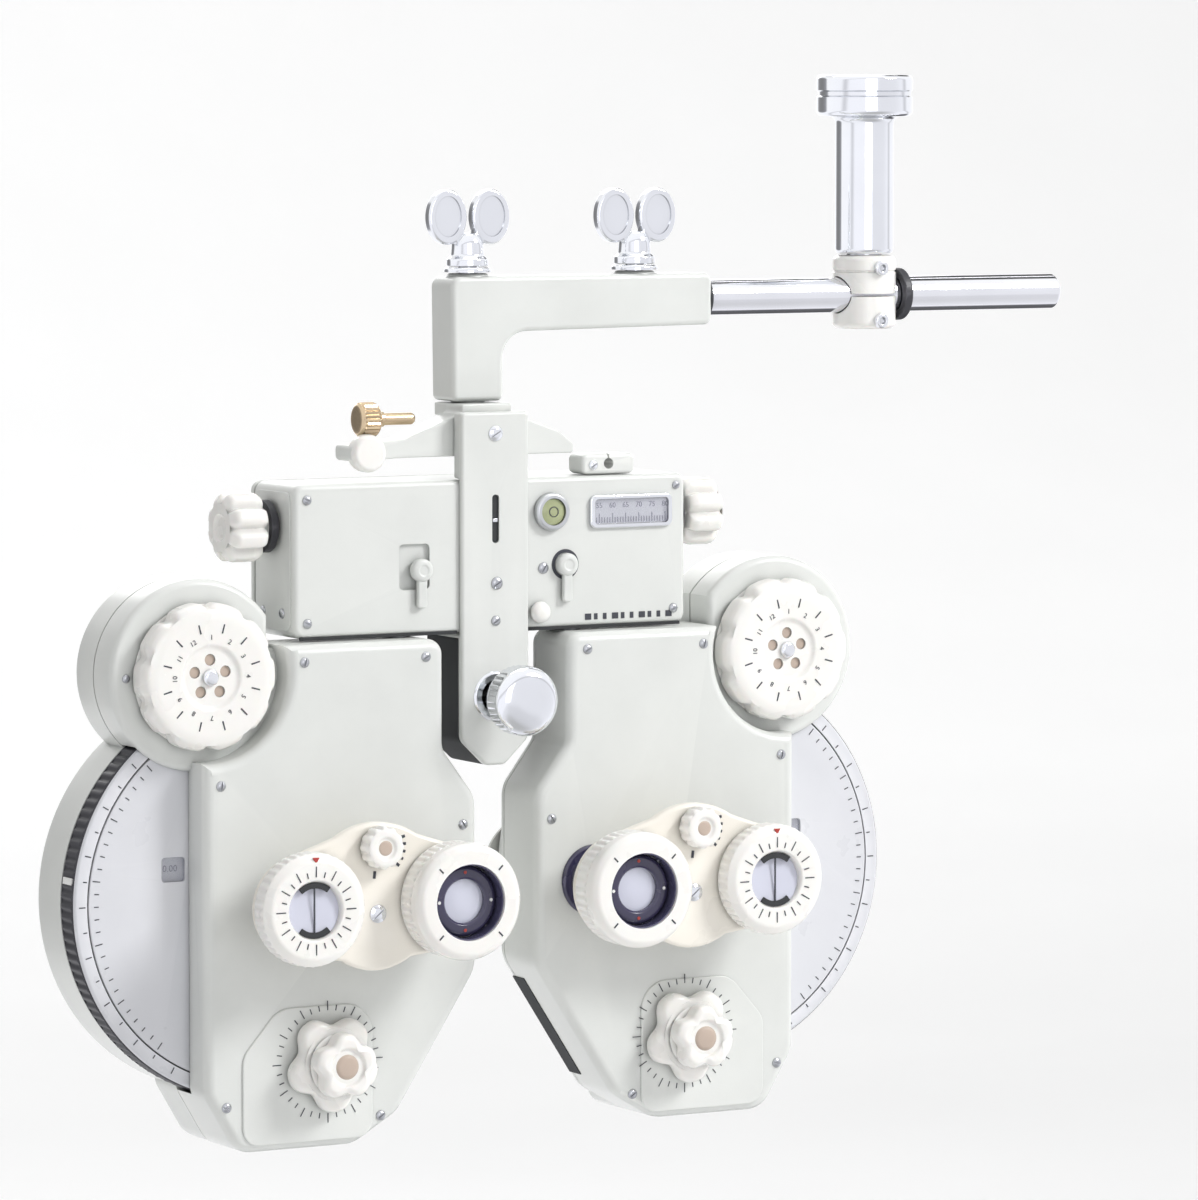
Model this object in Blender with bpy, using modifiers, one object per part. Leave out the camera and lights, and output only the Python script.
"""Manual phoropter (refractor head) with its hanger rod, modelled as separate pieces.

Design frame, millimetres: X to the right as the examiner sees it, the examiner's
side (front) faces -Y, the patient's side (back) faces +Y, Z up.  X = 0 is the mid
plane between the two batteries and Z = 0 is the height of the sight apertures.
The model's own origin is the top face of the drop spindle.

"right" and "left" are the patient's eyes: the right battery is on the -X side.
"""
import math

import bmesh
import bpy
from mathutils import Matrix, Vector

MILLIMETRE = 0.001
GAP = 0.3                         # clearance between touching pieces
BORE_GAP = 0.4                    # radial clearance of a shaft in its bore
SHARP_ANGLE = math.radians(32)    # edges steeper than this are shaded sharp

# ---------------------------------------------------------------- dimensions
# suspension
BLOCK_X = 152.6                   # drop spindle and its cross block
SWIVEL_Y = 5.5                    # plane of the spindle, the rod and the swivel post
SPINDLE_TOP_Z = 265.0
SPINDLE_LENGTH = 65.0
SPINDLE_TIP_R = 6.0
MODEL_ORIGIN = (BLOCK_X, SWIVEL_Y, SPINDLE_TOP_Z)
ROD_Z, ROD_R = 190.5, 6.0
ROD_X0, ROD_X1 = 20.0, 229.0
BRACKET_TOP_Z = 199.0
BRACKET_HALF_DEPTH = 8.0
POST_R, POST_TOP_Z = 5.6, 190.0
WING_SCREW_R = 3.0
ROD_SCREW_X = 63.0

# column and beam
LEVEL_Z, LEVEL_PIN_R = 148.0, 3.0  # levelling pivot
COLUMN_HALF = 12.5
COLUMN_Z0, COLUMN_Z1 = 38.9, 155.0
COLUMN_Y = -14.0                  # front of the column
COLUMN_STEP_Y = COLUMN_Y + 0.8    # front of the column's foot and head blocks
BEAM_HALF = 72.7
BEAM_Z0, BEAM_Z1 = 83.0, 133.0
BEAM_Y0, BEAM_Y1 = -12.0, 17.7
BEAM_SEAT_Y = BEAM_Y0 - GAP       # back of the pieces on the beam's front
RAIL_Y, RAIL_Z, RAIL_R = 11.0, 97.0, 5.0
SCREW_Y, SCREW_Z, SCREW_R = 4.0, 119.0, 3.5
SCREW_BORE_R = SCREW_R + BORE_GAP
PD_TRAVEL = 7.0                   # sideways travel of each battery
STEM_Y, STEM_R = -5.0, 4.0        # vergence pivot of each battery
STEM_SLOT_HALF = PD_TRAVEL + 4.7
FOREHEAD_Z, REST_STEM_R = 61.7, 5.0
LEVER_X, LEVER_Z = 27.0, 104.0

# battery layout
PD_HALF = 32.0                    # half of the interpupillary distance at rest
LENS_CIRCLE = 52.0                # radius of the circle the lenses sit on
CYL_CIRCLE = 26.5                 # the same on the cylinder disc
AXLE_X = PD_HALF + LENS_CIRCLE    # main axle of the sphere and auxiliary discs
TURRET_X = PD_HALF + CYL_CIRCLE   # pivot of the turret arm, axis of the cylinder disc
PRISM_X = TURRET_X + CYL_CIRCLE
CYL_KNOB = (66.5, -53.4)          # x, z of the cylinder knobs
AUX_KNOB = (107.0, 73.0)          # x, z of the auxiliary dial and its lobe
SIGHT_R = 9.0
LENS_HOLE_R = 7.6

# battery covers
Y_RAISED = -22.0                  # front of the raised cover
Y_LOBE = -12.0                    # front of the round auxiliary lobe
Y_SPLIT = 0.8                     # rear rim of the front cover
Y_REAR_RIM = 1.2                  # front rim of the rear cover
Y_BACK = 21.0                     # back of the rear cover's drum
Y_BOX_BACK = Y_BACK - 1.0         # back of its lower box
Y_REAR_LOBE = 16.0                # back of its lobe
Y_HOLLOW_BACK = Y_SPLIT + 4       # back of the tools that hollow the front cover
Y_HOLLOW_FRONT = -3.0             # front of the tools that hollow the rear cover
WALL = 2.4
LOBE_R = 31.0
DRUM_R, DRUM_BORE_R = 66.0, 64.0

# battery mechanism
AXLE_R = 6.0
WHEEL_R, WHEEL_INNER_R = 66.5, 61.3
AUX_SHAFT_R = 4.0
BOSS_R = 9.0                      # boss inside the front cover at the turret pivot
TURRET_SHAFT_R = 5.0
CYL_SHAFT_R = 3.4
CYL_TEETH, CYL_PINION_TEETH = 28, 14
CYL_PINION_PITCH_R = 18.0
CYL_PITCH_R = CYL_PINION_PITCH_R * CYL_TEETH / CYL_PINION_TEETH
ARM_FRONT_Y, ARM_BACK_Y = -43.0, -38.4
ARM_SEAT = GAP - ARM_FRONT_Y      # height, towards -Y, of the pieces on the arm


# ---------------------------------------------------------------- scene and materials
for old in list(bpy.data.objects):
    bpy.data.objects.remove(old, do_unlink=True)

parts = bpy.data.collections.new("phoropter")
cutters = bpy.data.collections.new("phoropter_cutters")
bpy.context.scene.collection.children.link(parts)
bpy.context.scene.collection.children.link(cutters)


def material(name, colour, roughness, metallic=0.0):
    mat = bpy.data.materials.new(name)
    mat.use_nodes = True
    shader = mat.node_tree.nodes["Principled BSDF"]
    shader.inputs["Base Color"].default_value = (*colour, 1.0)
    shader.inputs["Roughness"].default_value = roughness
    shader.inputs["Metallic"].default_value = metallic
    return mat


ENAMEL = material("body_enamel", colour=(0.76, 0.79, 0.76), roughness=0.35)
KNOB = material("knob_plastic", colour=(0.94, 0.93, 0.90), roughness=0.30)
DIAL = material("dial_face", colour=(0.80, 0.80, 0.84), roughness=0.35)
CHROME = material("chrome", colour=(0.88, 0.88, 0.90), roughness=0.08, metallic=1.0)
GRIP = material("black_grip", colour=(0.02, 0.02, 0.025), roughness=0.6)
BEZEL = material("dark_bezel", colour=(0.03, 0.028, 0.07), roughness=0.3)
STEEL = material("steel", colour=(0.55, 0.56, 0.58), roughness=0.3, metallic=1.0)
ALUMINIUM = material("aluminium", colour=(0.75, 0.76, 0.77), roughness=0.35, metallic=1.0)
BRASS = material("brass", colour=(0.72, 0.55, 0.30), roughness=0.3, metallic=1.0)
SCALE = material("scale_window", colour=(0.62, 0.66, 0.76), roughness=0.15)
PAD = material("rest_pad", colour=(0.70, 0.70, 0.68), roughness=0.6)


# ---------------------------------------------------------------- solids
# Every solid takes design millimetres and an origin.  One made without a
# material is a hidden helper for a boolean.
def link(name, data, origin, mat):
    obj = bpy.data.objects.new(name, data)
    obj.location = (Vector(origin) - Vector(MODEL_ORIGIN)) * MILLIMETRE
    if mat is None:
        cutters.objects.link(obj)
        obj.hide_render = True
        obj.display_type = "WIRE"
    else:
        parts.objects.link(obj)
        data.materials.append(mat)
    return obj


def finish(name, shape, origin, mat):
    """Turn a bmesh in design millimetres into an object."""
    bmesh.ops.translate(shape, verts=shape.verts, vec=-Vector(origin))
    bmesh.ops.scale(shape, verts=shape.verts, vec=(MILLIMETRE,) * 3)
    bmesh.ops.recalc_face_normals(shape, faces=shape.faces)
    mesh = bpy.data.meshes.new(name)
    shape.to_mesh(mesh)
    shape.free()
    mesh.shade_smooth()
    mesh.set_sharp_from_angle(angle=SHARP_ANGLE)
    return link(name, mesh, origin, mat)


def prism(name, outline, front, back, origin, mat=None, soften=0.0):
    """Outline (x, z) extruded along Y; `soften` chamfers its front edge."""
    shape = bmesh.new()
    base = shape.faces.new([shape.verts.new((x, front, z)) for x, z in outline])
    rim = list(shape.edges)
    grown = bmesh.ops.extrude_face_region(shape, geom=[base])
    moved = [item for item in grown["geom"] if isinstance(item, bmesh.types.BMVert)]
    bmesh.ops.translate(shape, verts=moved, vec=(0.0, back - front, 0.0))
    bmesh.ops.recalc_face_normals(shape, faces=shape.faces)
    if soften > 0.0:
        bmesh.ops.bevel(shape, geom=rim, offset=soften, segments=1, profile=0.5,
                        affect="EDGES")
    return finish(name, shape, origin, mat)


def box(name, x, y, z, origin, mat=None, bevel=0.0):
    """Box between the two limits given for each axis."""
    shape = bmesh.new()
    size = Matrix.Diagonal((x[1] - x[0], y[1] - y[0], z[1] - z[0], 1.0))
    centre = Matrix.Translation([(low + high) / 2 for low, high in (x, y, z)])
    bmesh.ops.create_cube(shape, size=1.0, matrix=centre @ size)
    if bevel > 0.0:
        bmesh.ops.bevel(shape, geom=list(shape.edges), offset=bevel, segments=1, profile=0.5,
                        affect="EDGES")
    return finish(name, shape, origin, mat)


BAR_TURN = {"X": Matrix.Rotation(math.radians(90), 4, "Y"),
            "Y": Matrix.Rotation(math.radians(90), 4, "X"),
            "Z": Matrix.Identity(4)}


def bars(name, rows, origin=(0.0, 0.0, 0.0), segments=20, mat=None):
    """Round bars; a row is (axis, two coordinates across it in XYZ order, radius,
    start, end)."""
    shape = bmesh.new()
    for axis, across0, across1, radius, start, end in rows:
        centre = [across0, across1]
        centre.insert("XYZ".index(axis), (start + end) / 2)
        bmesh.ops.create_cone(shape, cap_ends=True, segments=segments, radius1=radius,
                              radius2=radius, depth=end - start,
                              matrix=Matrix.Translation(centre) @ BAR_TURN[axis])
    return finish(name, shape, origin, mat)


FACING = {"front": (math.radians(90), 0.0, 0.0), "up": (0.0, 0.0, 0.0),
          "right": (0.0, math.radians(90), 0.0), "left": (0.0, math.radians(-90), 0.0)}


def turned(name, profile, origin, mat=None, facing="front", steps=24, ring=False):
    """Turned piece; a profile lists (radius, height from the origin along `facing`)
    and a ring's profile is a closed loop.  "right" faces +X."""
    mesh = bpy.data.meshes.new(name)
    points = [(radius * MILLIMETRE, 0.0, height * MILLIMETRE) for radius, height in profile]
    edges = [(i, i + 1) for i in range(len(points) - 1)]
    if ring:
        edges.append((len(points) - 1, 0))
    mesh.from_pydata(points, edges, [])
    obj = link(name, mesh, origin, mat)
    obj.rotation_euler = FACING[facing]
    screw = obj.modifiers.new("turn", "SCREW")
    screw.axis = "Z"
    screw.angle = math.tau
    screw.steps = steps
    screw.render_steps = steps
    screw.use_merge_vertices = True
    screw.merge_threshold = 0.00001
    screw.use_smooth_shade = True
    return obj


def plate(name, loops, thickness, origin, mat):
    """Flat plate square to Y and centred on its origin; the first loop is its
    outline, the others are holes."""
    data = bpy.data.curves.new(name, "CURVE")
    data.dimensions = "2D"
    data.fill_mode = "BOTH"
    data.extrude = thickness / 2 * MILLIMETRE
    data.resolution_u = 1
    data.render_resolution_u = 0
    for loop in loops:
        spline = data.splines.new("POLY")
        spline.points.add(len(loop) - 1)
        spline.use_cyclic_u = True
        for point, (x, z) in zip(spline.points, loop):
            point.co = ((x - origin[0]) * MILLIMETRE, (z - origin[2]) * MILLIMETRE, 0.0, 1.0)
    obj = link(name, data, origin, mat)
    obj.rotation_euler = FACING["front"]
    return obj


def boolean(piece, operation, tools):
    for tool in tools:
        modifier = piece.modifiers.new(operation.lower(), "BOOLEAN")
        modifier.object = tool
        modifier.operation = operation


def cut(piece, *tools):
    boolean(piece, "DIFFERENCE", tools)


def add(piece, *tools):
    boolean(piece, "UNION", tools)


# ---------------------------------------------------------------- outlines in (x, z)
def polar(centre_x, centre_z, radius, angle):
    return (centre_x + radius * math.cos(angle), centre_z + radius * math.sin(angle))


def circle(centre_x, centre_z, radius, count, phase=0.0):
    return [polar(centre_x, centre_z, radius, phase + math.tau * i / count)
            for i in range(count)]


def arc(centre_x, centre_z, radius, start, end, count):
    """Arc of `count` chords between two angles in degrees."""
    return [polar(centre_x, centre_z, radius, math.radians(start + (end - start) * i / count))
            for i in range(count + 1)]


def rounded(corners, pieces=2):
    """Polygon whose corners (x, z, radius) are rounded."""
    out = []
    for i, (x, z, radius) in enumerate(corners):
        if radius <= 0.0:
            out.append((x, z))
            continue
        here = Vector((x, z))
        before = (Vector(corners[i - 1][:2]) - here).normalized()
        after = (Vector(corners[(i + 1) % len(corners)][:2]) - here).normalized()
        half = before.angle(after) / 2
        start = here + before * radius / math.tan(half)
        end = here + after * radius / math.tan(half)
        centre = here + (before + after).normalized() * radius / math.sin(half)
        for k in range(pieces + 1):
            spoke = (start - centre).lerp(end - centre, k / pieces).normalized() * radius
            out.append(tuple(centre + spoke))
    return out


def inset(outline, distance):
    """Anticlockwise outline moved inwards."""
    def inward(start, end):
        return Vector((-(end - start).y, (end - start).x)).normalized()

    out = []
    for i in range(len(outline)):
        before, here = Vector(outline[i - 1]), Vector(outline[i])
        after = Vector(outline[(i + 1) % len(outline)])
        normal0, normal1 = inward(before, here), inward(here, after)
        out.append(tuple(here + (normal0 + normal1) * distance / (1.0 + normal0.dot(normal1))))
    return out


def gear(centre, root, tip, teeth, root_width, tip_width, phase):
    """Gear outline with straight-sided teeth; widths in mm at root and tip radius."""
    out = []
    for i in range(teeth):
        middle = phase + math.tau * i / teeth
        for radius, width, flank in ((root, root_width, -1), (tip, tip_width, -1),
                                     (tip, tip_width, 1), (root, root_width, 1)):
            out.append(polar(*centre, radius, middle + flank * width / 2 / radius))
    return out


class Side:
    """One battery's side; its pieces are laid out for +X and mirrored by `sign`."""

    def __init__(self, tag, sign):
        self.tag = tag
        self.sign = sign

    def name(self, piece):
        return f"{piece}_{self.tag}"

    def at(self, x, y, z):
        return (self.sign * x, y, z)

    def span(self, x0, x1):
        return sorted((self.sign * x0, self.sign * x1))

    def flip(self, outline):
        return [(self.sign * x, z) for x, z in outline]

    def bar(self, x, z, radius, front, back):
        """Row for `bars`, along Y."""
        return ("Y", self.sign * x, z, radius, front, back)


SIDES = (Side("right", -1), Side("left", 1))


# ---------------------------------------------------------------- suspension
def drop_spindle():
    profile = [(0, 0), (15.5, 0), (16.5, -1.0), (16.5, -13.0), (15.5, -14.0), (10.0, -14.0),
               (10.0, -60.6), (SPINDLE_TIP_R, -60.6), (SPINDLE_TIP_R, -SPINDLE_LENGTH),
               (0, -SPINDLE_LENGTH)]
    turned("drop_spindle", profile, MODEL_ORIGIN, CHROME, "up", 24)


def hanger_cross_block():
    profile = [(0, 13.5), (9.8, 13.5), (10.8, 12.5), (10.8, -10.5), (9.8, -11.5), (0, -11.5)]
    socket_floor = SPINDLE_TOP_Z - SPINDLE_LENGTH - 0.4
    block = turned("hanger_cross_block", profile, (BLOCK_X, SWIVEL_Y, ROD_Z), KNOB, "up", 28)
    cut(block,
        bars("cut_block_rod", [("X", SWIVEL_Y, ROD_Z, ROD_R + GAP, 130, 175)], segments=24),
        bars("cut_block_spindle",
             [("Z", BLOCK_X, SWIVEL_Y, SPINDLE_TIP_R + GAP, socket_floor, 212)]))


def hanger_rod():
    bars("hanger_rod", [("X", SWIVEL_Y, ROD_Z, ROD_R, ROD_X0, ROD_X1)],
         (ROD_X0, SWIVEL_Y, ROD_Z), 24, CHROME)


def suspension_bracket():
    outline = rounded([(-9.5, 158, 0), (9.5, 158, 0), (9.5, 180.5, 8), (88.6, 181.5, 1.5),
                       (88.6, BRACKET_TOP_Z, 2), (-10.0, BRACKET_TOP_Z, 2)], 3)
    screw_bore = WING_SCREW_R + GAP
    bracket = prism("suspension_bracket", outline, SWIVEL_Y - BRACKET_HALF_DEPTH,
                    SWIVEL_Y + BRACKET_HALF_DEPTH, (0.0, SWIVEL_Y, ROD_Z), ENAMEL)
    cut(bracket,
        bars("cut_bracket_rod", [("X", SWIVEL_Y, ROD_Z, ROD_R + GAP, ROD_X0 - 1, 95)],
             segments=24),
        bars("cut_bracket_post", [("Z", 0, SWIVEL_Y, POST_R + GAP, 150, POST_TOP_Z + 0.6)],
             segments=24),
        bars("cut_bracket_screws", [("Z", 0, SWIVEL_Y, screw_bore, 188, 203),
                                    ("Z", ROD_SCREW_X, SWIVEL_Y, screw_bore, 193, 203)],
             segments=12))


# corners (x from the screw's axis, z, radius)
WINGS = [(-3, 206, 0), (3, 206, 0), (5, 211, 2), (11, 212, 4), (15, 219, 4),
         (12.5, 227.5, 4), (5, 225, 4), (2.6, 216, 2), (-2.6, 216, 2), (-5, 225, 4),
         (-12.5, 227.5, 4), (-15, 219, 4), (-11, 212, 4), (-5, 211, 2)]


def wing_screw(name, screw_x, tip_z):
    tip = tip_z - BRACKET_TOP_Z
    profile = [(0, 14), (4.2, 14), (5.6, 12.6), (5.6, 6), (7.0, 5.4), (7.0, 3.4),
               (WING_SCREW_R, 3.4), (WING_SCREW_R, tip), (0, tip)]
    origin = (screw_x, SWIVEL_Y, BRACKET_TOP_Z)
    screw = turned(name, profile, origin, CHROME, "up", 12)
    wings = rounded([(screw_x + x, z, radius) for x, z, radius in WINGS], 1)
    add(screw, prism("add_" + name, wings, SWIVEL_Y - 2, SWIVEL_Y + 2, origin))


def swivel_post():
    """Round post on a flat yoke that carries the levelling pivot."""
    yoke = [(-9.3, 157.6), (-9.3, 154.5), (-30, 146.5), (-50, 145), (-50, 139.5),
            (-31, 140.5), (32.5, 140.5), (32.5, 143.4), (27, 148.0), (13, 153.0),
            (9.3, 153.6), (9.3, 157.6)]
    post = prism("swivel_post", yoke, -8.0, 4.0, (0, SWIVEL_Y, 158), ENAMEL)
    add(post,
        box("add_post_flange", (-9.2, 9.2), (-2.3, 13.3), (153.0, 157.5), (0, 0, 155)),
        bars("add_post_spindle", [("Z", 0, SWIVEL_Y, POST_R, 155, POST_TOP_Z)], segments=24))
    cut(post, bars("cut_post_pivot", [("Y", 0, LEVEL_Z, LEVEL_PIN_R + BORE_GAP, -12, 8)],
                   segments=16))


def level_knob():
    profile = [(0, 7.5), (4.9, 7.5), (5.8, 6.6), (5.8, 0.9), (4.9, 0), (2.5, 0),
               (2.5, -13.5), (0, -13.5)]
    turned("level_knob", profile, (-37.5, -2.0, 153.0), BRASS, "left", 16)


# ---------------------------------------------------------------- column and beam
def column_outline(top_z):
    return rounded([(-COLUMN_HALF, top_z, 0), (-COLUMN_HALF, 47, 3), (-4, COLUMN_Z0, 3),
                    (4, COLUMN_Z0, 3), (COLUMN_HALF, 47, 3), (COLUMN_HALF, top_z, 0)], 2)


def center_column():
    """Plate before the beam, with a foot below it, a head above it and a pivot pin."""
    column = prism("center_column", column_outline(COLUMN_Z1), COLUMN_Y, BEAM_SEAT_Y,
                   (0, SWIVEL_Y, LEVEL_Z), ENAMEL)
    add(column,
        prism("add_column_foot", column_outline(BEAM_Z0 - GAP), COLUMN_STEP_Y, 12.0,
              (0, 0, 60)),
        box("add_column_head", (-COLUMN_HALF, COLUMN_HALF), (COLUMN_STEP_Y, -8.4),
            (BEAM_Z1 + GAP, COLUMN_Z1), (0, 0, 145)),
        bars("add_column_pin", [("Y", 0, LEVEL_Z, LEVEL_PIN_R, -10, 5.5)], segments=16))
    cut(column,
        bars("cut_column_bore", [("Y", 0, FOREHEAD_Z, REST_STEM_R + BORE_GAP, -16, 14)],
             segments=16),
        box("cut_column_slot", (-1.3, 1.3), (-15, -13.2), (112, 128), (0, -14, 120)))


def beam_housing():
    """Box open at the back, slotted below for the stems, bored for the lead screw."""
    beam = box("beam_housing", (-BEAM_HALF, BEAM_HALF), (BEAM_Y0, BEAM_Y1),
               (BEAM_Z0, BEAM_Z1), (0, 0, BEAM_Z0), ENAMEL, bevel=1.2)
    cut(beam, box("cut_beam_inside", (-BEAM_HALF + 2.2, BEAM_HALF - 2.2),
                  (BEAM_Y0 + 2, BEAM_Y1 + 5), (BEAM_Z0 + 2, BEAM_Z1 - 2), (0, 0, 108)))
    for side in SIDES:
        cut(beam, box(side.name("cut_beam_slot"),
                      side.span(PD_HALF - STEM_SLOT_HALF, PD_HALF + STEM_SLOT_HALF),
                      (STEM_Y - 4.6, STEM_Y + 4.6), (BEAM_Z0 - 2, BEAM_Z0 + 4),
                      side.at(PD_HALF, 0, 83)))
    cut(beam, bars("cut_beam_ends", [("X", SCREW_Y, SCREW_Z, SCREW_BORE_R, -80, -66),
                                     ("X", SCREW_Y, SCREW_Z, SCREW_BORE_R, 66, 80)],
                   segments=12))


def beam_rear_cover():
    box("beam_rear_cover", (-BEAM_HALF, BEAM_HALF), (BEAM_Y1 + GAP, 20.0),
        (BEAM_Z0, BEAM_Z1), (0, 18, BEAM_Z0), ENAMEL, bevel=0.6)


def pd_drive():
    """Guide rail and lead screw inside the beam, with a knob at each end."""
    rail_half = BEAM_HALF - 2.5
    screw_half = BEAM_HALF + 0.2
    bars("pd_guide_rail", [("X", RAIL_Y, RAIL_Z, RAIL_R, -rail_half, rail_half)],
         (0, RAIL_Y, RAIL_Z), 20, STEEL)
    bars("pd_lead_screw", [("X", SCREW_Y, SCREW_Z, SCREW_R, -screw_half, screw_half)],
         (0, SCREW_Y, SCREW_Z), 12, STEEL)
    profile = [(0, 18.5), (10.0, 18.5), (11.6, 17.0), (11.6, 6.0), (10.0, 4.6), (6.0, 4.4),
               (6.0, 0), (0, 0)]
    for side in SIDES:
        outward = "right" if side.sign > 0 else "left"
        turned(side.name("pd_knob"), profile, side.at(BEAM_HALF + 0.5, SCREW_Y, SCREW_Z),
               KNOB, outward, 20)


def pd_scale_window():
    box("pd_scale_window", (36, 67), (-13.4, BEAM_SEAT_Y), (115.5, 126.5),
        (51, -12.3, 121), SCALE, bevel=0.4)


def spirit_level():
    profile = [(0, 2.3), (5.6, 2.3), (6.3, 1.6), (6.3, 0), (0, 0)]
    turned("spirit_level", profile, (21.5, BEAM_SEAT_Y, 121.6), ALUMINIUM, "front", 20)


def near_rod_holder():
    holder = box("near_rod_holder", (34, 54), (-11, -1), (BEAM_Z1 + GAP, 140),
                 (44, -6, 136), ENAMEL, bevel=0.8)
    cut(holder, bars("cut_holder", [("Y", 44, 136.8, 1.8, -14, 2)], segments=12))


def forehead_knob():
    profile = [(0, 12.5), (9.6, 12.5), (11.5, 10.8), (11.5, 1.6), (10.2, 0), (3.5, 0),
               (3.5, -19.5), (0, -19.5)]
    turned("forehead_knob", profile, (0, -26.5, FOREHEAD_Z), CHROME, "front", 20)


def forehead_rest():
    rest = box("forehead_rest", (-28, 28), (23, 31), (53, 70), (0, 12, FOREHEAD_Z), PAD,
               bevel=3.0)
    add(rest, bars("add_rest_stem", [("Y", 0, FOREHEAD_Z, REST_STEM_R, 2, 25)], segments=16))


# ---------------------------------------------------------------- battery covers
# Anticlockwise outlines on the +X side; corners are (x, z, radius).
RAISED_OUTLINE = rounded(
    [(23, 82, 3), (23, 46, 5), (11, 30, 8), (11, -27, 10), (40, -72, 8), (56, -81.5, 10),
     (98, -81.5, 8), (109.6, -62, 8)]
    + [(x, z, 0) for x, z in arc(*AUX_KNOB, 28.0, -84.7, -198.7, 6)])  # scoop round the dial
LOBE_OUTLINE = arc(*AUX_KNOB, LOBE_R, 165.05, 503.8, 24) + [(82.0, 81.0)]
BOX_OUTLINE = rounded([(52, -81.4, 5), (97.9, -81.4, 8), (109.4, -62, 8), (109.4, -38, 0),
                       (52, -38, 0)])


def carriage(side):
    """Block on the rail and lead screw, with the stem that the battery hangs on."""
    profile = [(0, 14), (STEM_R, 14), (STEM_R, -9), (5.6, -9), (5.6, -13), (0, -13)]
    bore_span = side.span(15, 50)
    piece = turned(side.name("carriage"), profile, side.at(PD_HALF, STEM_Y, BEAM_Z0), STEEL,
                   "up", 16)
    add(piece, box(side.name("add_carriage"), side.span(20, 44), (-9.5, 16.5), (87, 125),
                   side.at(PD_HALF, 3, 100)))
    cut(piece, bars(side.name("cut_carriage"), [
        ("X", RAIL_Y, RAIL_Z, RAIL_R + GAP, *bore_span),
        ("X", SCREW_Y, SCREW_Z, SCREW_BORE_R, *bore_span)], segments=16))


def front_cover(side):
    """Raised body with a round lobe, hollow from behind."""
    raised_hollow = side.flip(inset(RAISED_OUTLINE, WALL))
    lobe_hollow = side.flip(inset(LOBE_OUTLINE, WALL))
    cover = prism(side.name("front_cover"), side.flip(RAISED_OUTLINE), Y_RAISED, Y_SPLIT,
                  side.at(PD_HALF, STEM_Y, 0), ENAMEL, soften=2.0)
    add(cover, prism(side.name("add_lobe"), side.flip(LOBE_OUTLINE), Y_LOBE, Y_SPLIT,
                     side.at(107, 0, 73), soften=1.4))
    cut(cover,
        prism(side.name("cut_cover"), raised_hollow, Y_RAISED + 2.5, Y_HOLLOW_BACK,
              side.at(60, 0, 0)),
        prism(side.name("cut_lobe"), lobe_hollow, Y_LOBE + WALL, Y_HOLLOW_BACK,
              side.at(107, 0, 73)),
        bars(side.name("cut_wheel_slot"), [side.bar(AXLE_X, 0.0, WHEEL_R + 0.9, -9.6, 5)],
             side.at(AXLE_X, 0, 0), 32))
    add(cover, bars(side.name("add_boss"), [side.bar(TURRET_X, 0, BOSS_R, -21, -11.4)],
                    segments=14))
    cut(cover, bars(side.name("cut_cover_holes"), [
        side.bar(PD_HALF, 0, SIGHT_R, -24, -17),
        side.bar(TURRET_X, 0, TURRET_SHAFT_R + BORE_GAP, -24, -10),
        side.bar(*CYL_KNOB, CYL_SHAFT_R + BORE_GAP, -24, -17),
        side.bar(*AUX_KNOB, AUX_SHAFT_R + BORE_GAP, -15, -7),
        ("Z", side.sign * PD_HALF, STEM_Y, STEM_R + BORE_GAP, 76, 85)], segments=14))


def rear_cover(side):
    """Drum, flange, lower box and lobe, hollow from the front."""
    # The front rims are staggered so that no two of them are coplanar.
    rear = prism(side.name("rear_cover"), side.flip(circle(AXLE_X, 0, DRUM_R, 40, 0.02)),
                 Y_REAR_RIM + 0.1, Y_BACK, side.at(PD_HALF, STEM_Y, 0), ENAMEL)
    add(rear,
        prism(side.name("add_rear_flange"), side.flip(RAISED_OUTLINE), Y_REAR_RIM, 3.4,
              side.at(60, 2, 0)),
        prism(side.name("add_rear_box"), side.flip(BOX_OUTLINE), Y_REAR_RIM + 0.2,
              Y_BOX_BACK, side.at(80, 10, -60)),
        prism(side.name("add_rear_lobe"), side.flip(LOBE_OUTLINE), Y_REAR_RIM + 0.3,
              Y_REAR_LOBE, side.at(107, 8, 73)))
    cut(rear,
        bars(side.name("cut_drum"),
             [side.bar(AXLE_X, 0.0, DRUM_BORE_R, Y_HOLLOW_FRONT, Y_BACK - WALL)],
             side.at(AXLE_X, 0, 0), 40),
        prism(side.name("cut_rear_box"), side.flip(inset(BOX_OUTLINE, WALL)),
              Y_HOLLOW_FRONT, Y_BOX_BACK - WALL, side.at(80, 8, -60)),
        prism(side.name("cut_rear_lobe"), side.flip(inset(LOBE_OUTLINE, WALL)),
              Y_HOLLOW_FRONT, Y_REAR_LOBE - WALL, side.at(107, 5, 73)),
        bars(side.name("cut_rear_sight"), [side.bar(PD_HALF, 0, SIGHT_R, 15, 24)]))


# ---------------------------------------------------------------- battery mechanism
# Profiles of pieces facing front have their origin at y = 0 unless placed
# elsewhere, so that a height is -y.
def main_axle(side):
    profile = [(0, 10), (9, 10), (9, 8.4), (AXLE_R, 8.4), (AXLE_R, -18.3), (0, -18.3)]
    turned(side.name("main_axle"), profile, side.at(AXLE_X, 0, 0), STEEL, "front", 16)


def sphere_wheel(side):
    profile = [(WHEEL_R, 9.0), (WHEEL_R, -0.8), (WHEEL_INNER_R, -0.8), (WHEEL_INNER_R, 9.0)]
    turned(side.name("sphere_wheel"), profile, side.at(AXLE_X, 0, 0), GRIP, "front", 44,
           ring=True)


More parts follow.
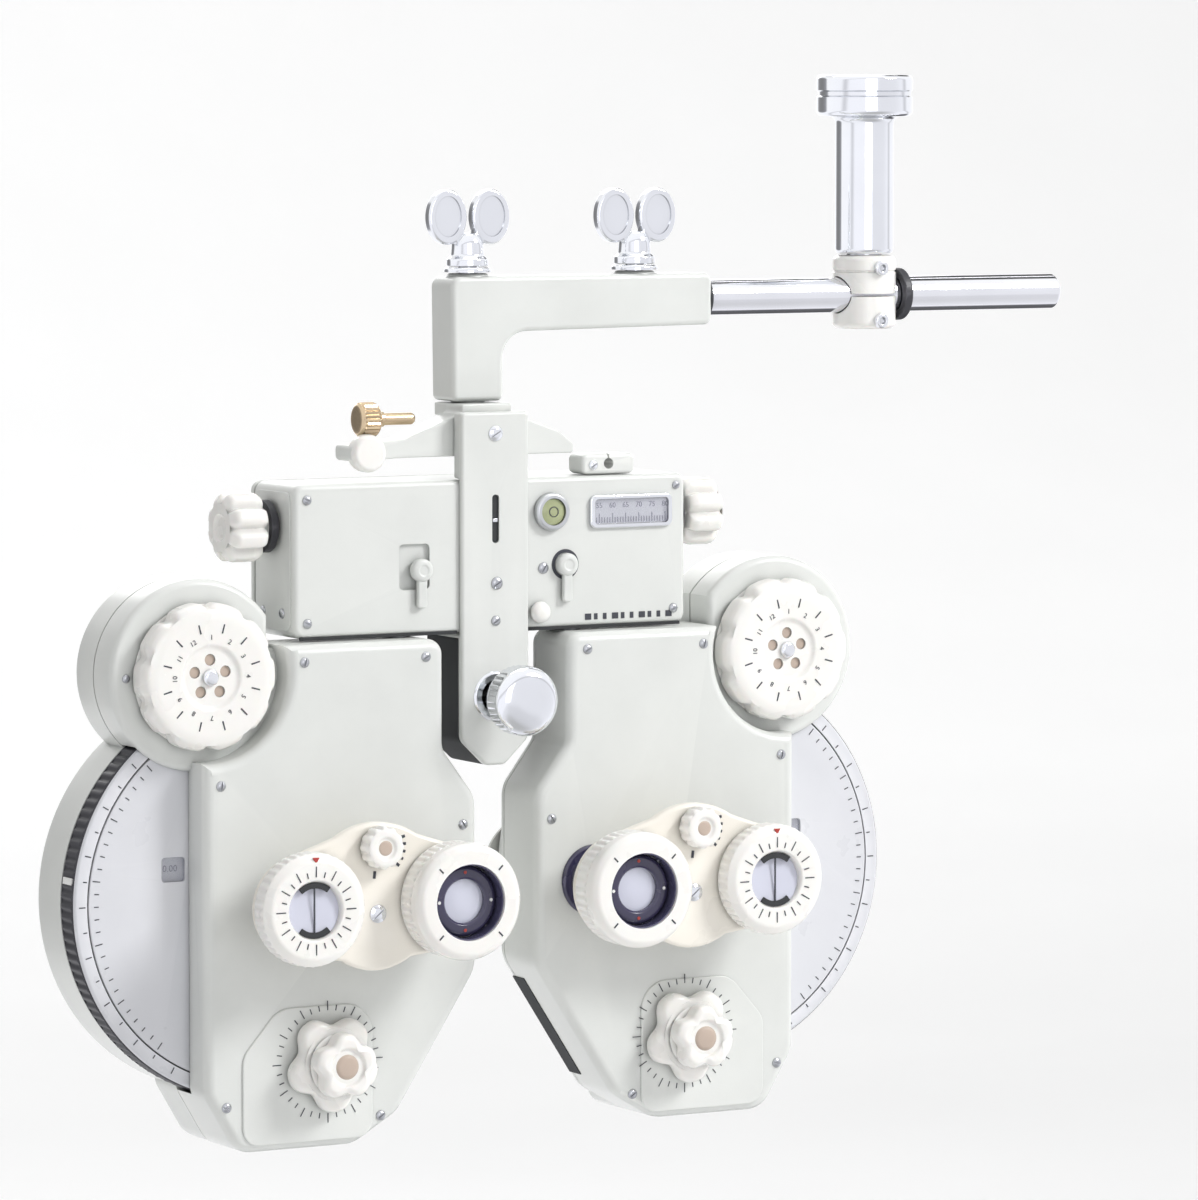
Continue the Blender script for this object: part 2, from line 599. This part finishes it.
def dial_plate(side):
    """Circle segment inside the wheel, with a square window."""
    dial = arc(AXLE_X, 0, 60.8, -73.8, 73.8, 18)
    window = [(110.8, 6.5), (119.2, 6.5), (119.2, 14.5), (110.8, 14.5)]
    plate(side.name("dial_plate"), [side.flip(dial), side.flip(window)], 2.0,
          side.at(AXLE_X, -8.3, 0), DIAL)


def lens_disc(side, name, outline, holes, y, centre_x=AXLE_X, lens_circle=LENS_CIRCLE,
              hub_r=AXLE_R, mat=ALUMINIUM):
    loops = [outline, circle(centre_x, 0, hub_r + BORE_GAP, 12)]
    for i in range(holes):
        lens = polar(centre_x, 0.0, lens_circle, math.pi + math.tau * i / holes)
        loops.append(circle(*lens, LENS_HOLE_R, 8, math.pi / 8))
    plate(side.name(name), [side.flip(loop) for loop in loops], 2.5,
          side.at(centre_x, y, 0), mat)


def sphere_discs(side):
    lens_disc(side, "weak_sphere_disc", circle(AXLE_X, 0, 63.5, 36), 12, 2.35)
    lens_disc(side, "strong_sphere_disc", circle(AXLE_X, 0, 62.0, 32), 8, 6.75)


def auxiliary_drive(side):
    """Toothed auxiliary disc and the knob whose pinion drives its rim."""
    distance = math.hypot(AUX_KNOB[0] - AXLE_X, AUX_KNOB[1])
    toward = math.atan2(AUX_KNOB[1], AUX_KNOB[0] - AXLE_X)
    rim = gear((AXLE_X, 0), root=61.0, tip=63.2, teeth=24, root_width=6.0, tip_width=4.2,
               phase=toward)
    lens_disc(side, "aux_lens_disc", rim, 8, 11.25)

    seat = GAP - Y_LOBE
    profile = [(0, 22.0), (20.0, 22.0), (22.6, 21.2), (24.0, 19.4), (24.0, seat),
               (AUX_SHAFT_R, seat), (AUX_SHAFT_R, -13.2), (0, -13.2)]
    knob = turned(side.name("aux_knob"), profile, side.at(AUX_KNOB[0], 0, AUX_KNOB[1]),
                  KNOB, "front", 24)
    pinion = gear(AUX_KNOB, root=distance - 63.6, tip=distance - 61.4, teeth=6,
                  root_width=5.4, tip_width=3.6, phase=toward + math.pi + math.pi / 6)
    add(knob, prism(side.name("add_aux_pinion"), side.flip(pinion), 9.9, 12.6,
                    side.at(107, 11, 73)))


def cylinder_drive(side):
    """Toothed disc round the turret boss, a ring knob and the geared knob within it."""
    toward = math.atan2(CYL_KNOB[1], CYL_KNOB[0] - TURRET_X)
    rim = gear((TURRET_X, 0), root=CYL_PITCH_R - 0.7, tip=CYL_PITCH_R + 1.9,
               teeth=CYL_TEETH, root_width=4.0, tip_width=2.2, phase=toward)
    lens_disc(side, "cylinder_disc", rim, 8, -13.75, TURRET_X, CYL_CIRCLE, BOSS_R, BRASS)

    origin = side.at(CYL_KNOB[0], 0, CYL_KNOB[1])
    seat = GAP - Y_RAISED
    ring = [(14.6, 30.0), (16.0, 28.6), (16.0, 23.6), (14.6, seat), (4.0, seat), (4.0, 30.0)]
    turned(side.name("cylinder_axis_knob"), ring, origin, KNOB, "front", 20, ring=True)

    profile = [(0, 38.0), (9.6, 38.0), (11.0, 36.8), (11.0, 31.4), (10.0, 30.4),
               (CYL_SHAFT_R, 30.4), (CYL_SHAFT_R, 12.2), (0, 12.2)]
    knob = turned(side.name("cylinder_power_knob"), profile, origin, KNOB, "front", 16)
    pinion = gear(CYL_KNOB, root=CYL_PINION_PITCH_R - 2.3, tip=CYL_PINION_PITCH_R + 0.3,
                  teeth=CYL_PINION_TEETH, root_width=3.4, tip_width=2.0,
                  phase=toward + math.pi + math.pi / CYL_PINION_TEETH)
    add(knob, prism(side.name("add_power_pinion"), side.flip(pinion), -15.2, -12.4,
                    side.at(66.5, -14, -53.4)))


# ---------------------------------------------------------------- turret
def turret_arm(side):
    """Waisted plate with a hole at each end and a hub behind its middle."""
    outline = (arc(PD_HALF, 0, 17.0, 112, 248, 8)
               + arc(TURRET_X, 0, 22.0, 236, 304, 5)
               + arc(PRISM_X, 0, 16.5, -68, 68, 8)
               + arc(TURRET_X, 0, 26.0, 56, 124, 6))
    hub = [(0, 41), (13, 41), (13, 31), (10.5, 27), (10.5, 22.4), (TURRET_SHAFT_R, 22.4),
           (TURRET_SHAFT_R, 12), (0, 12)]
    arm = prism(side.name("turret_arm"), side.flip(outline), ARM_FRONT_Y, ARM_BACK_Y,
                side.at(TURRET_X, -40, 0), KNOB)
    add(arm, turned(side.name("add_turret_hub"), hub, side.at(TURRET_X, 0, 0), steps=16))
    cut(arm, bars(side.name("cut_turret"), [side.bar(PD_HALF, 0, 10.5, -45, -36),
                                            side.bar(PRISM_X, 0, 9.0, -45, -36)],
                  segments=16))


def cross_cylinder(side):
    ring = [(17.6, 57.0), (19.0, 55.6), (19.0, ARM_SEAT), (12.4, ARM_SEAT), (12.4, 57.0)]
    lens = [(11.6, 2.6), (11.6, -2.6), (7.2, -2.6), (7.2, 2.6)]
    knob = [(0, 50.0), (5.8, 50.0), (7.0, 48.8), (7.0, ARM_SEAT), (0, ARM_SEAT)]
    turned(side.name("jcc_ring"), ring, side.at(PD_HALF, 0, 0), KNOB, "front", 24, ring=True)
    turned(side.name("jcc_lens"), lens, side.at(PD_HALF, -50.2, 0), BEZEL, "front", 20,
           ring=True)
    turned(side.name("jcc_knob"), knob, side.at(TURRET_X + 0.3, 0, 18.3), KNOB, "front", 14)


def prism_ring(side):
    profile = [(17.1, 52.0), (18.5, 50.6), (18.5, ARM_SEAT), (9.0, ARM_SEAT), (9.0, 52.0)]
    turned(side.name("prism_ring"), profile, side.at(PRISM_X, 0, 0), KNOB, "front", 22,
           ring=True)


# ---------------------------------------------------------------- shield and lever
def face_shield(side):
    """Ring round the sight aperture on the patient's side."""
    seat = -(Y_BACK + GAP)
    profile = [(17.2, seat), (16.4, -25.4), (10.6, -25.4), (9.6, seat)]
    turned(side.name("face_shield"), profile, side.at(PD_HALF, 0, 0), PAD, "front", 20,
           ring=True)


def vergence_lever(side):
    """Button on the beam's front with a narrow bar hanging from it."""
    seat = -BEAM_SEAT_Y
    profile = [(0, 15.2), (3.2, 15.2), (3.8, 14.6), (3.8, seat), (0, seat)]
    lever = turned(side.name("vergence_lever"), profile, side.at(LEVER_X, 0, LEVER_Z),
                   CHROME, "front", 14)
    add(lever, box(side.name("add_lever"), side.span(LEVER_X - 1.2, LEVER_X + 1.2),
                   (-14.4, -12.7), (91.5, LEVER_Z), side.at(LEVER_X, -13, 98)))


# ---------------------------------------------------------------- assembly
drop_spindle()
hanger_cross_block()
hanger_rod()
suspension_bracket()
wing_screw("wing_screw_swivel", 0.0, POST_TOP_Z + 1.0)
wing_screw("wing_screw_rod", ROD_SCREW_X, ROD_Z + ROD_R + 0.4)
swivel_post()
level_knob()

center_column()
beam_housing()
beam_rear_cover()
pd_drive()
pd_scale_window()
spirit_level()
near_rod_holder()
forehead_knob()
forehead_rest()

BATTERY_PIECES = (carriage, front_cover, rear_cover, main_axle, sphere_wheel, dial_plate,
                  sphere_discs, auxiliary_drive, cylinder_drive, turret_arm,
                  cross_cylinder, prism_ring, face_shield, vergence_lever)
for battery_side in SIDES:
    for build in BATTERY_PIECES:
        build(battery_side)
